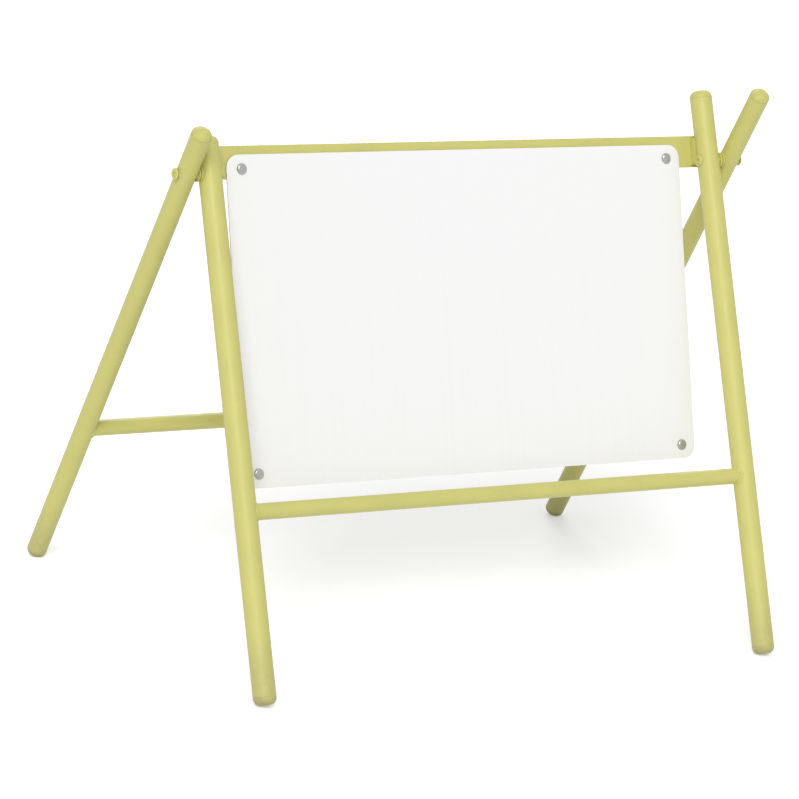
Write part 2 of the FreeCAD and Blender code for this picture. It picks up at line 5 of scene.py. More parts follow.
import bmesh
import bpy
import numpy as np
from bpy.props import FloatProperty, FloatVectorProperty, PointerProperty
from bpy.types import NodeSocket, Operator, Panel, PropertyGroup
from mathutils import Matrix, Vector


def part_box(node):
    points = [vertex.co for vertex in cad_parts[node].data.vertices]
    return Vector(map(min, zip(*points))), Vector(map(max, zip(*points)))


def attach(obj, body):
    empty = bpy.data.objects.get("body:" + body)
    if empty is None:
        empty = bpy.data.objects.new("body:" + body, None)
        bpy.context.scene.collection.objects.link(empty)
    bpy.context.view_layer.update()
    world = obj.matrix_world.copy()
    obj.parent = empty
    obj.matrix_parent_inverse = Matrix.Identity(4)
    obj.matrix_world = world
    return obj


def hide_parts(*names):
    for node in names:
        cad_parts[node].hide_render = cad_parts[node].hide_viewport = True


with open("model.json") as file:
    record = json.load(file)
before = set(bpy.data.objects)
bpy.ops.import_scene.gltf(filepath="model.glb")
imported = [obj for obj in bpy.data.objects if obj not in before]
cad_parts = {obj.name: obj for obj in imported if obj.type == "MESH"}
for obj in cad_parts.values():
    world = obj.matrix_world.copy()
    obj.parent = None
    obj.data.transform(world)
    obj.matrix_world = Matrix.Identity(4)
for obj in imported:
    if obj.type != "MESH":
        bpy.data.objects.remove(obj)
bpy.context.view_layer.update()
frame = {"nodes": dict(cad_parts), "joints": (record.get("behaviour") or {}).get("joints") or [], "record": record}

bl_info = {
    "name": "A-frame sign",
    "version": (1, 0, 0),
    "blender": (4, 5, 0),
    "location": "View3D > Sidebar > Sign",
    "description": "Dresses a folding A-frame sign: plugs, welds, panel, fasteners, finishes and studio",
    "category": "Object",
}

MM = 0.001
TURN = 2 * math.pi
# Which way along X each side lies, and which way along Y each pair of legs leans as it rises
SIDES = {"left": -1, "right": 1}
PAIRS = {"front": 1, "rear": -1}
# Half a turn about X, for axes that are kept as rows
TURNED_OVER = np.array([[1], [-1], [-1]])
# Rings on each face of a plate, as shares of its outline from the middle out
FACE_RINGS = (0, 0.35, 0.7, 1)
# Points round a turned piece that has no finer form
ROUND = 72
# Points along a weld's seam, round a rail and beside a saddle
RAIL_SEAM, SADDLE_SEAM = 288, 160
# Point attribute that says from 0 to 1 how much a place is rubbed
RUBBED = "rubbed"
# Points closer than this are one, and edges that turn by more than this are sharp
MERGE = 1e-7
SHARP = math.radians(32)
# Colour sockets of a mix node, which share their names with its number and vector sockets
MIX_A, MIX_B, MIX_RESULT = 6, 7, 2


# Settings that a user would change

def linear(hex_colour):
    """An sRGB hex colour as linear red, green and blue."""
    channels = np.array([int(hex_colour[start:start + 2], 16) for start in (1, 3, 5)]) / 255
    bright = ((channels + 0.055) / 1.055) ** 2.4
    return tuple(np.where(channels > 0.04045, bright, channels / 12.92))


def length(label, use, millimetres):
    """A length property whose default is given in millimetres."""
    return FloatProperty(name=label, description=use, default=millimetres * MM, precision=5, unit="LENGTH")


def angle(label, use, degrees):
    """An angle property whose default is given in degrees."""
    return FloatProperty(name=label, description=use, default=math.radians(degrees), subtype="ANGLE")


def colour(label, use, hex_colour):
    """A colour property whose default is an sRGB hex value."""
    tone = linear(hex_colour)
    return FloatVectorProperty(name=label, description=use, default=tone, min=0, max=1, subtype="COLOR")


def strength(label, use, value):
    """A plain number that sets how strong a light is."""
    return FloatProperty(name=label, description=use, default=value, min=0)


def grouped(label, kind):
    """A group of settings, described by its class."""
    return PointerProperty(name=label, description=kind.__doc__, type=kind)


def x_of(node):
    """Where a CAD node's box is centred along X, in millimetres."""
    low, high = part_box(node)
    return (low.x + high.x) / 2 / MM


def width_of(node):
    """How wide a CAD node's box is along X, in millimetres."""
    low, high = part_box(node)
    return (high.x - low.x) / MM


class FrameSizes(PropertyGroup):
    """Stance, tubes, end plugs and welds of the two frames."""

    hinge_height: length("Hinge height", "Hinge line above the floor", frame["joints"][0]["pos_m"][2] / MM)
    front_lean: angle("Front lean", "Lean of the front legs from upright", 25)
    rear_lean: angle("Rear lean", "Lean of the rear legs from upright", 25)
    front_leg_x: length("Front leg place", "Front leg axis from the middle", x_of("front_right_leg"))
    rear_leg_x: length("Rear leg place", "Rear leg axis from the middle", x_of("rear_right_leg"))
    front_leg_diameter: length("Front leg", "Outside diameter of a front leg", width_of("front_left_leg"))
    rear_leg_diameter: length("Rear leg", "Outside diameter of a rear leg", width_of("rear_left_leg"))
    leg_wall: length("Leg wall", "Wall of the leg tubes", 2)
    front_left_rise: length("Front left rise", "Tip of the front left leg above the hinge", 66)
    front_right_rise: length("Front right rise", "Tip of the front right leg above the hinge", 135)
    rear_left_rise: length("Rear left rise", "Tip of the rear left leg above the hinge", 100)
    rear_right_rise: length("Rear right rise", "Tip of the rear right leg above the hinge", 169)
    front_plug_edge: length("Front plug edge", "Round of a front plug's rim", 13)
    rear_plug_edge: length("Rear plug edge", "Round of a rear plug's rim", 12)
    plug_band: length("Plug band", "Band between a tube's end and the plug's round", 2)
    plug_stem: length("Plug stem", "Length of a plug inside its tube", 26)
    plug_wall: length("Plug wall", "Wall of a plug's hollow stem", 3)
    plug_seam: length("Plug seam", "Softened edge of a plug where it meets its tube", 0.8)
    gate_radius: length("Gate mark", "Radius of the gate's dimple in a plug's tip", 3)
    sole_cut: length("Sole cut", "How far a foot's round would reach below the floor", 1)
    rail_diameter: length("Rail", "Outside diameter of the round rails", 30)
    lower_rail_drop: length("Lower rail drop", "Lower rail below the hinge along the front legs", 608)
    rear_rail_drop: length("Rear rail drop", "Rear rail below the hinge along the rear legs", 623)
    weld_radius: length("Weld", "Radius of a weld bead", 2.6)
    weld_pitch: length("Weld ripple", "Spacing of a weld bead's ripples", 3.2)


class PanelSizes(PropertyGroup):
    """Sign panel and the flat bars behind it."""

    lean: angle("Panel lean", "Lean of the panel from upright", 19.5)
    width: length("Panel width", "Width of the sheet", width_of("sign_panel"))
    height: length("Panel height", "Height of the sheet along its lean", 600)
    thickness: length("Panel thickness", "Thickness of the sheet", 3)
    corner: length("Panel corner", "Radius of the sheet's corners", 25)
    rise: length("Panel rise", "Upper edge of the sheet above the hinge along its lean", 33.5)
    edge: length("Panel edge", "Round of the sheet's dressed edge", 0.6)
    rail_height: length("Top rail height", "Height of the flat top rail", 60)
    rail_thickness: length("Top rail thickness", "Thickness of the flat top rail", 5)
    rail_above: length("Top rail above panel", "Top rail's upper edge above the panel's", 16)
    rail_length: length("Top rail length", "Length of the flat top rail", width_of("top_rail"))
    stiffener_length: length("Stiffener length", "Length of the lower bar", width_of("panel_stiffener"))
    stiffener_height: length("Stiffener height", "Height of the lower bar", 40)
    stiffener_thickness: length("Stiffener thickness", "Thickness of the lower bar", 5)
    bar_corner: length("Bar corner", "Radius of the flat bars' corners", 3)
    bar_edge: length("Bar edge", "Round of the flat bars' edges", 1)
    saddle_land: length("Saddle land", "Saddle between a leg's back and the top rail's upper edge", 3)
    saddle_height: length("Saddle height", "Height of a saddle along the panel", 50)
    saddle_depth: length("Saddle depth", "Depth of a saddle from the top rail forward", 14)
    saddle_weld: length("Saddle weld", "Radius of the bead beside a saddle", 1.8)


class FastenerSizes(PropertyGroup):
    """Panel bolts with their washers and lock nuts, rail screws and hinge pins."""

    side_inset: length("Bolt side inset", "Bolt from the panel's side", 31)
    edge_inset: length("Bolt edge inset", "Bolt from the panel's upper or lower edge", 26)
    bolt_diameter: length("Bolt", "Thread diameter of a panel bolt", 10)
    bolt_head: length("Bolt head", "Diameter of a panel bolt's head", 20)
    bolt_head_height: length("Bolt head height", "Height of a panel bolt's head", 5)
    bolt_head_edge: length("Bolt head edge", "Round of a panel bolt's head", 4.2)
    bolt_end: length("Bolt end", "Panel bolt beyond its nut", 3)
    thread_pitch: length("Thread pitch", "Pitch of a panel bolt's thread", 1.5)
    washer: length("Washer", "Outside diameter of a washer", 21)
    washer_hole: length("Washer hole", "Hole of a washer", 11)
    washer_thickness: length("Washer thickness", "Thickness of a washer", 2)
    nut_flats: length("Nut", "A lock nut across its flats", 17)
    nut_height: length("Nut height", "Height of a lock nut's hexagon", 8)
    nut_collar: length("Nut collar", "Diameter of the collar that holds the insert", 14)
    nut_collar_height: length("Nut collar height", "Height of the collar above the hexagon", 2.5)
    screw_pitch: length("Rail screw spacing", "Between the two screws of a saddle", 24)
    screw_diameter: length("Rail screw", "Thread diameter of a rail screw", 6)
    screw_bite: length("Rail screw bite", "Rail screw inside its saddle", 7)
    screw_head: length("Rail screw head", "Diameter of a rail screw's head", 11.5)
    screw_head_height: length("Rail screw head height", "Height of a rail screw's head", 3.5)
    screw_head_edge: length("Rail screw head edge", "Round of a rail screw's head", 3)
    screw_socket: length("Rail screw socket", "A rail screw's socket across its flats", 4)
    pin_diameter: length("Hinge barrel", "Diameter of the barrel that the bushes turn on", 14)
    pin_head: length("Hinge head", "Diameter of a hinge pin's head", 22)
    pin_head_height: length("Hinge head height", "Height of a hinge pin's head", 3)
    pin_head_edge: length("Hinge head edge", "Round of a hinge pin's head", 2.4)
    pin_socket: length("Hinge socket", "A hinge pin's socket across its flats", 8)
    pin_screw: length("Hinge screw", "Thread diameter of the screw that closes a barrel", 8)
    pin_screw_length: length("Hinge screw length", "Length of the screw that closes a barrel", 25)


class Finishes(PropertyGroup):
    """Colours of the sign's materials."""

    coat: colour("Powder coat", "Pale yellow coat of the steel frame", "#CFCB77")
    plug: colour("Plugs", "Pale yellow of the moulded plugs", "#CCC874")
    enamel: colour("Enamel", "White of the panel's front", "#F8F8F8")
    aluminium: colour("Aluminium", "Bare back and edge of the panel", "#B6B8BA")
    zinc: colour("Zinc", "Bright zinc of the bolts, washers, nuts and screws", "#A7AAAF")
    passivate: colour("Passivate", "Warmer tint that the passivated zinc drifts to", "#B4B1A6")
    nylon: colour("Nylon", "Natural nylon of the spacers and nut inserts", "#DDD9CB")
    primer: colour("Primer", "Grey primer where the powder coat has chipped", "#8E8B80")
    dust: colour("Dust", "Road dust on the lowest part of the legs", "#8F8A72")


class StudioSettings(PropertyGroup):
    """Camera, lights and floor."""

    azimuth: angle("Azimuth", "Camera to the left of straight ahead", 33.81)
    elevation: angle("Elevation", "Camera above level", 16.78)
    roll: angle("Roll", "Turn of the camera about its line of sight", 7.51)
    distance: length("Distance", "Camera from the point that it looks at", 7833.4)
    aim_x: length("Aim along the panel", "Point that the camera looks at, along X", -84)
    aim_height: length("Aim height", "Height of the point that the camera looks at", 415)
    lens: FloatProperty(name="Lens", description="Focal length on 36 mm", default=188.96, unit="CAMERA")
    floor: length("Floor", "Side of the floor", 60000)
    board: colour("Board", "Pale paint of the floor", "#F2F2F2")
    white: strength("White", "Lift of the floor to white where the camera sees it", 0.34)
    fill: strength("Fill", "Light from all round", 0.46)
    spread: angle("Lamp spread", "How wide the lamps look from the sign", 30)
    key: strength("Key", "Lamp ahead of the sign, above on the left", 1.68)
    key_tilt: angle("Key tilt", "Key lamp from straight above", 48)
    key_heading: angle("Key heading", "Turn of the key lamp about the sign", -38)
    back: strength("Back light", "Lamp behind the sign, above on the right", 0.67)
    back_tilt: angle("Back tilt", "Back light from straight above", 52)
    back_heading: angle("Back heading", "Turn of the back light about the sign", 150)


class SignSettings(PropertyGroup):
    """Everything that the sign's operators read."""

    frame: grouped("Frame", FrameSizes)
    panel: grouped("Panel", PanelSizes)
    fasteners: grouped("Fasteners", FastenerSizes)
    finishes: grouped("Finishes", Finishes)
    studio: grouped("Studio", StudioSettings)


def settings():
    """The sign's settings in the open scene."""
    return bpy.context.scene.a_frame_sign


# Surfaces

def rounded(corners, radii, steps=6):
    """A polyline with each inner corner replaced by an arc.

    The arc's centre lies on the corner's bisector at radius over sine of the half angle. Its points
    turn about that centre in equal steps from one side's tangent point to the other's.
    """
    corners = np.array(corners, float)
    line = [corners[:1]]
    for before, corner, after, radius in zip(corners, corners[1:], corners[2:], radii):
        if radius == 0:
            line.append(corner[None])
            continue
        back, ahead = ((near - corner) / np.linalg.norm(near - corner) for near in (before, after))
        half = math.acos(np.clip(back @ ahead, -1, 1)) / 2
        bisector = (back + ahead) / np.linalg.norm(back + ahead)
        centre = corner + bisector * radius / math.sin(half)
        start, end = (corner + way * radius / math.tan(half) - centre for way in (back, ahead))
        sweep = math.pi - 2 * half
        share = np.linspace(0, 1, steps + 1)[:, None]
        arc = (np.sin((1 - share) * sweep) * start + np.sin(share * sweep) * end) / math.sin(sweep)
        line.append(centre + arc)
    line.append(corners[-1:])
    return np.concatenate(line)


def hexagon(turn):
    """Radius of a hexagon of unit corner radius: cosine of 30 degrees over that of the turn from a flat."""
    return math.cos(math.pi / 6) / np.cos(turn % (math.pi / 3) - math.pi / 6)


def around(count):
    """Equal turns round a full circle."""
    return np.linspace(0, TURN, count, endpoint=False)


def lathe(radius, height, turn):
    """x and y are radius times cosine and sine of the turn, z is height; radius may vary with the turn."""
    radius, height, turn = np.broadcast_arrays(radius, height, turn)
    return np.stack([radius * np.cos(turn), radius * np.sin(turn), height], axis=-1)


def turned(profile, count=ROUND):
    """A profile of radius and height carried round Z."""
    return lathe(profile[:, :1], profile[:, 1:], around(count)[None])


def plate_surface(width, height, thickness, corner, edge, corner_points=16, edge_rings=5):
    """A plate that stands on y = 0 and rises to z = thickness, as rings from face to face.

    Each ring is the outline moved inward: its corner centres stay and its corner radius shrinks. On the
    edge the inset follows a quarter circle up and another down. On each face the rings grow from a point,
    and the last of them lies four fifths of a corner inside, so that the face stays flat up to its edge.
    """
    count = 4 * corner_points
    turn = around(count) + TURN / count / 2
    spoke = np.stack([np.cos(turn), np.sin(turn)], axis=-1)
    hub = np.sign(spoke) * (np.array([width, height]) / 2 - corner)
    face = np.array(FACE_RINGS)
    bend = np.linspace(0, TURN / 4, edge_rings)
    scale = np.concatenate([face, np.ones(edge_rings)])
    inset = np.concatenate([np.where(face < 1, edge, 0.8 * corner), edge * (1 - np.sin(bend))])
    fall = np.concatenate([0 * face, edge * (1 - np.cos(bend))])
    scale, inset = (np.concatenate([half, half[::-1]])[:, None, None] for half in (scale, inset))
    level = np.concatenate([thickness - fall, fall[::-1]])[:, None, None]
    ring = scale * (hub + (corner - inset) * spoke) + [0, height / 2]
    return np.concatenate([ring, np.broadcast_to(level, ring.shape[:2] + (1,))], axis=-1)


def headed_profile(kind, stem, reach):
    """Radius, height and share of hexagon for a headed pin, from its stem's end to the middle of its head.

    The head's rim is a quarter circle. A socket is a hexagon two thirds of the head deep, its mouth coned
    out past its corners and its floor coned in.
    """
    sizes = settings().fasteners
    head = getattr(sizes, kind + "_head") / 2
    height = getattr(sizes, kind + "_head_height")
    corner = getattr(sizes, kind + "_socket", 0) / math.sqrt(3)
    tip_edge, seat_edge, rim = stem / 12, height / 20, getattr(sizes, kind + "_head_edge")
    side = rounded(
        [(0, -reach), (stem, -reach), (stem, 0), (head, 0), (head, height), (0, height)],
        [tip_edge, 0, seat_edge, rim],
        steps=10,
    )
    rows = np.column_stack([side[:-1], np.zeros(len(side) - 1)])
    if corner:
        floor = height / 3
        mouth, mouth_fall, point, point_fall = (share * corner for share in (1.1, 0.05, 0.2, 0.15))
        rows = np.concatenate([rows, [
            (mouth, height, 0),
            (corner, height - mouth_fall, 1),
            (corner, floor, 1),
            (point, floor - point_fall, 0),
        ]])
    middle = (0, rows[-1, 1], 0)
    return np.concatenate([rows, [middle]])


def headed_surface(rows):
    """The rows carried round Z, each ring blended from a circle to a hexagon by its share."""
    turn = around(ROUND)[None]
    share = rows[:, 2:]
    ring = rows[:, :1] * (1 - share + share * hexagon(turn))
    return lathe(ring, rows[:, 1:2], turn)


def bead_surface(path, outward, radius, pitch, closed, swell=0.16, lag=0.45, columns=20):
    """A weld bead: a circle carried along a path, with ripples that lie across it like fallen coins.

    The circle's radius swells by the absolute sine of pi times the distance along the path over the
    pitch, and lags round the circle by the cosine of the turn, so that each ripple is a crescent. An
    open bead draws in at its ends, by the root of one less the sixteenth power of the distance from its
    middle.
    """
    step = np.roll(path, -1, axis=0) - np.roll(path, 1, axis=0)
    if not closed:
        step = np.gradient(path, axis=0)
    tangent = step / np.linalg.norm(step, axis=1, keepdims=True)
    outward = outward - (outward * tangent).sum(1, keepdims=True) * tangent
    outward /= np.linalg.norm(outward, axis=1, keepdims=True)
    sideways = np.cross(tangent, outward)
    gaps = np.linalg.norm(np.diff(path, axis=0, append=path[:1]), axis=1)
    travelled = np.concatenate([[0], np.cumsum(gaps[:-1])])
    total = gaps.sum() if closed else travelled[-1]
    ripples = round(total / pitch)
    turn = around(columns)[None]
    phase = travelled[:, None] / total * ripples - lag * np.cos(turn)
    size = radius * (1 - swell / 2 + swell * np.abs(np.sin(math.pi * phase)))
    if not closed:
        share = np.linspace(-1, 1, len(path))[:, None]
        size = size * np.sqrt(np.clip(1 - share ** 16, 0, 1))
    ring = np.cos(turn)[..., None] * outward[:, None] + np.sin(turn)[..., None] * sideways[:, None]
    return path[:, None] + size[..., None] * ring


# Places on the sign

def of_legs(legs, size):
    """A size of one pair of legs, or of one leg."""
    return getattr(settings().frame, f"{legs}_{size}")


def on_hinge_line(x):
    """The point of the hinge line at x."""
    return np.array([x, 0, settings().frame.hinge_height])


def on_hinge(points, x, way):
    """Points from a pin's own axes into the sign, its own Z along X, to the right or to the left."""
    axes = [[0, 1, 0], [0, 0, 1], [1, 0, 0]] if way > 0 else [[0, 0, 1], [0, 1, 0], [-1, 0, 0]]
    return on_hinge_line(x) + points @ np.array(axes)


def on_leg(points, pair, x, along, down=False):
    """Points from a leg's own axes into the sign, their origin on the leg's axis at along above the hinge.

    Their own X runs across, and their own Z runs up the leg, or down it.
    """
    lean = of_legs(pair, "lean")
    sway = PAIRS[pair] * math.sin(lean)
    axes = np.array([[1, 0, 0], [0, math.cos(lean), -sway], [0, sway, math.cos(lean)]])
    origin = on_hinge_line(x) + along * axes[2]
    return origin + points @ (axes * TURNED_OVER if down else axes)


def leg_x(pair, side):
    """Where a leg's axis lies along X."""
    return SIDES[side] * of_legs(pair, "leg_x")


def on_panel(points, x, rise, depth, to_back=False):
    """Points from the panel's own axes into the sign, their origin at a rise and depth from the hinge.

    Their own X runs across, and their own Z comes out of the panel's front, or out of its back.
    """
    lean = settings().panel.lean
    slope, level = math.cos(lean), math.sin(lean)
    axes = np.array([[1, 0, 0], [0, level, slope], [0, -slope, level]])
    origin = on_hinge_line(x) + rise * axes[1] - depth * axes[2]
    return origin + points @ (axes * TURNED_OVER if to_back else axes)


def panel_back():
    """Depth of the panel's back behind the hinge: a leg's back at the top rail's edge, and the land."""
    panel = settings().panel
    slant = of_legs("front", "lean") - panel.lean
    rail_top = panel.rise + panel.rail_above
    leg_back = rail_top * math.tan(slant) + of_legs("front", "leg_diameter") / 2 / math.cos(slant)
    return leg_back + panel.saddle_land


def rail_middle():
    """Rise of the top rail's middle above the hinge."""
    panel = settings().panel
    return panel.rise + panel.rail_above - panel.rail_height / 2


def bolt_places():
    """Name, x and rise of each panel bolt, and the thickness of the bar behind it."""
    panel = settings().panel
    bolts = settings().fasteners
    rows = {
        "top": (panel.rise - bolts.edge_inset, panel.rail_thickness),
        "bottom": (panel.rise - panel.height + bolts.edge_inset, panel.stiffener_thickness),
    }
    for level, (rise, backing) in rows.items():
        for side, sign in SIDES.items():
            yield f"{level}_{side}", sign * (panel.width / 2 - bolts.side_inset), rise, backing


# Materials

def set_inputs(tree, node, inputs):
    """Link each of a node's inputs to a socket, or set it to a plain value."""
    for key, value in inputs.items():
        if isinstance(value, NodeSocket):
            tree.links.new(value, node.inputs[key])
        else:
            node.inputs[key].default_value = value


def add_node(tree, kind, inputs, **own):
    """Add a shader node with its own settings and its inputs, and give back its outputs."""
    node = tree.nodes.new("ShaderNode" + kind)
    for key, value in own.items():
        setattr(node, key, value)
    set_inputs(tree, node, inputs)
    return node.outputs


def begin_nodes(owner, last):
    """Turn on the nodes of a material or world, and give what adds one and what sets the last one."""
    owner.use_nodes = True
    tree = owner.node_tree
    return partial(add_node, tree), partial(set_inputs, tree, tree.nodes[last])


@cache
def finish(make):
    """The material that a function below describes, named for it and shared by the pieces that take it.

    The function gets what adds a node and the object coordinates, and gives the shader's inputs.
    """
    material = bpy.data.materials.new(make.__name__)
    add, shade = begin_nodes(material, "Principled BSDF")
    shade(make(add, add("TexCoord", {})["Object"]))
    return material


def per_size(millimetres):
    """The texture scale at which one feature is that large."""
    return 1 / (millimetres * MM)


def tinted(rgb, factor=1):
    """A colour made lighter or darker, with full alpha."""
    return (*(min(1, channel * factor) for channel in rgb), 1)


def drifting(add, place, size, start, end, detail=2, distortion=0):
    """A colour that drifts between two others in patches of a size in millimetres, and the patches."""
    patches = add("TexNoise", {
        "Vector": place, "Scale": per_size(size), "Detail": detail, "Distortion": distortion,
    })["Fac"]
    tone = add("Mix", {"Factor": patches, MIX_A: start, MIX_B: end}, data_type="RGBA")[MIX_RESULT]
    return tone, patches


def dusted(add, place, clean, reach, amount):
    """The clean colour with road dust that thins out over a reach in millimetres from the floor up.

    The dust is broken by 18 mm patches.
    """
    height = add("SeparateXYZ", {"Vector": place})["Z"]
    near = add("MapRange", {
        "Value": height, "From Min": 0, "From Max": reach * MM, "To Min": amount, "To Max": 0,
    }, interpolation_type="SMOOTHERSTEP")["Result"]
    patches = add("TexNoise", {
        "Vector": place, "Scale": per_size(18), "Detail": 5, "Roughness": 0.65,
    })["Fac"]
    cover = add("Math", {0: near, 1: patches}, operation="MULTIPLY")["Value"]
    dust = tinted(settings().finishes.dust)
    return add("Mix", {"Factor": cover, MIX_A: clean, MIX_B: dust}, data_type="RGBA")[MIX_RESULT]


def worn(add, place, size, start, full):
    """From 0 to 1 how far a rubbed edge has worn through: its rub times noise of a size in millimetres."""
    rub = add("Attribute", {}, attribute_name=RUBBED)["Fac"]
    patches = add("TexNoise", {
        "Vector": place, "Scale": per_size(size), "Detail": 4, "Roughness": 0.6,
    })["Fac"]
    through = add("Math", {0: rub, 1: patches}, operation="MULTIPLY")["Value"]
    return add("MapRange", {"Value": through, "From Min": start, "From Max": full})["Result"]


def powder_coated_steel(add, place):
    """Polyester powder coat, sprayed and stoved on steel: an even pale yellow with a satin sheen.

    To the eye it has an orange peel, faint cloudiness where the coat is thicker, small chips down to the
    grey primer along the edges that rub, and dust near the floor. The peel is drawn at 6 mm, about four
    times its real size, so that it shows.
    """
    finishes = settings().finishes
    thin, thick = (tinted(finishes.coat, factor) for factor in (0.93, 1.06))
    tone, clouds = drifting(add, place, 70, thin, thick, detail=3)
    chips = worn(add, place, 5, start=0.58, full=0.62)
    primer = tinted(finishes.primer)
    chipped = add("Mix", {"Factor": chips, MIX_A: tone, MIX_B: primer}, data_type="RGBA")[MIX_RESULT]
    gloss = add("MapRange", {
        "Value": clouds, "From Min": 0.3, "From Max": 0.7, "To Min": 0.38, "To Max": 0.5,
    })["Result"]
    peel = add("TexNoise", {"Vector": place, "Scale": per_size(6), "Detail": 2})["Fac"]
    relief = add("Math", {0: peel, 1: chips}, operation="SUBTRACT")["Value"]
    bump = add("Bump", {"Strength": 0.6, "Distance": 0.7 * MM, "Height": relief})["Normal"]
    dull = dusted(add, place, chipped, reach=160, amount=0.6)
    return {"Base Color": dull, "Roughness": gloss, "IOR": 1.5, "Normal": bump}


def moulded_polypropylene(add, place):
    """Injection-moulded polypropylene, coloured through: the frame's yellow, a little softer and duller.

    To the eye it has the grain of a spark-eroded mould, drawn at 2 mm so that it shows, pale scuffs on
    its shoulder and tip, and dust where it stands.
    """
    dark, pale, scuff = (tinted(settings().finishes.plug, factor) for factor in (0.92, 1.05, 1.16))
    tone, _ = drifting(add, place, 14, dark, pale, distortion=0.8)
    scuffs = worn(add, place, 7, start=0.5, full=0.75)
    scuffed = add("Mix", {"Factor": scuffs, MIX_A: tone, MIX_B: scuff}, data_type="RGBA")[MIX_RESULT]
    grain = add("TexNoise", {"Vector": place, "Scale": per_size(2), "Detail": 2})["Fac"]
    bump = add("Bump", {"Strength": 0.4, "Distance": 0.15 * MM, "Height": grain})["Normal"]
    dull = dusted(add, place, scuffed, reach=50, amount=1)
    return {"Base Color": dull, "Roughness": 0.5, "IOR": 1.49, "Normal": bump}


def white_stove_enamel(add, place):
    """Stove enamel on aluminium sheet: a blank clean white with a soft gloss.

    To the eye it has a trace of rain streaks down its slope, more of them towards the lower edge, and the
    low ripple of a sprayed coat, drawn at 6 mm so that it shows.
    """
    clean, soiled = (tinted(settings().finishes.enamel, factor) for factor in (1, 0.9))
    low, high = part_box("sign_panel")
    falling = add("Mapping", {
        "Vector": place, "Scale": (per_size(9), per_size(400), per_size(400)),
    })["Vector"]
    streaks = add("TexNoise", {"Vector": falling, "Scale": 1, "Detail": 4, "Roughness": 0.6})["Fac"]
    faint = add("MapRange", {
        "Value": streaks, "From Min": 0.45, "From Max": 0.8, "To Min": 0, "To Max": 0.2,
    })["Result"]
    height = add("SeparateXYZ", {"Vector": place})["Z"]
    share = add("MapRange", {
        "Value": height, "From Min": low.z, "From Max": high.z, "To Min": 0.9, "To Max": 0.25,
    })["Result"]
    soil = add("Math", {0: faint, 1: share}, operation="MULTIPLY")["Value"]
    tone = add("Mix", {"Factor": soil, MIX_A: clean, MIX_B: soiled}, data_type="RGBA")[MIX_RESULT]
    ripple = add("TexNoise", {"Vector": place, "Scale": per_size(6), "Detail": 2})["Fac"]
    bump = add("Bump", {"Strength": 0.2, "Distance": 0.1 * MM, "Height": ripple})["Normal"]
    return {"Base Color": tone, "Roughness": 0.3, "IOR": 1.5, "Normal": bump}


def mill_finish_aluminium(add, place):
    """Mill-finish aluminium sheet as it leaves the rolls: grey, with fine lines along its length.

    To the eye the lines are 4 mm wide, drawn coarser than real ones so that they show, and the sheen is
    broken by slow patches of oxide.
    """
    dull, bright = (tinted(settings().finishes.aluminium, factor) for factor in (0.88, 1.1))
    tone, _ = drifting(add, place, 85, dull, bright, detail=4)
    rolled = add("Mapping", {
        "Vector": place, "Scale": (per_size(600), per_size(4), per_size(4)),
    })["Vector"]
    lines = add("TexNoise", {"Vector": rolled, "Scale": 1, "Detail": 3})["Fac"]
    shade, full = (tinted((1, 1, 1), factor) for factor in (0.86, 1))
    lined = add("Mix", {"Factor": lines, MIX_A: shade, MIX_B: full}, data_type="RGBA")[MIX_RESULT]
    drawn = add("Mix", {
        "Factor": 1, MIX_A: tone, MIX_B: lined,
    }, data_type="RGBA", blend_type="MULTIPLY")[MIX_RESULT]
    sheen = add("MapRange", {
        "Value": lines, "From Min": 0.3, "From Max": 0.7, "To Min": 0.34, "To Max": 0.52,
    })["Result"]
    bump = add("Bump", {"Strength": 0.25, "Distance": 0.04 * MM, "Height": lines})["Normal"]
    return {"Base Color": drawn, "Metallic": 1, "Roughness": sheen, "Normal": bump}


def zinc_plated_steel(add, place):
    """Zinc plated and clear passivated steel: light grey metal that drifts to a faint straw tint.

    To the eye the plating is semi-bright, with a 5 mm drift of tint. Its handling marks are drawn at
    2.5 mm, coarser than real ones, so that they show.
    """
    finishes = settings().finishes
    tone, _ = drifting(add, place, 5, tinted(finishes.zinc), tinted(finishes.passivate))
    marks = add("TexNoise", {"Vector": place, "Scale": per_size(2.5), "Detail": 4})["Fac"]
    sheen = add("MapRange", {
        "Value": marks, "From Min": 0.3, "From Max": 0.7, "To Min": 0.26, "To Max": 0.44,
    })["Result"]
    return {"Base Color": tone, "Metallic": 1, "Roughness": sheen}


def natural_nylon(add, place):
    """Moulded natural nylon: a milky off-white with a waxy sheen and slow cloudiness of 6 mm."""
    clear, milky = (tinted(settings().finishes.nylon, factor) for factor in (0.94, 1.04))
    tone, _ = drifting(add, place, 6, clear, milky)
    return {"Base Color": tone, "Roughness": 0.42, "IOR": 1.53}


# The finish of each material slot
SLOT_FINISHES = {
    "frame_paint": powder_coated_steel,
    "plug_plastic": moulded_polypropylene,
    "panel_sheet": white_stove_enamel,
    "zinc_steel": zinc_plated_steel,
    "nylon": natural_nylon,
}


# Pieces

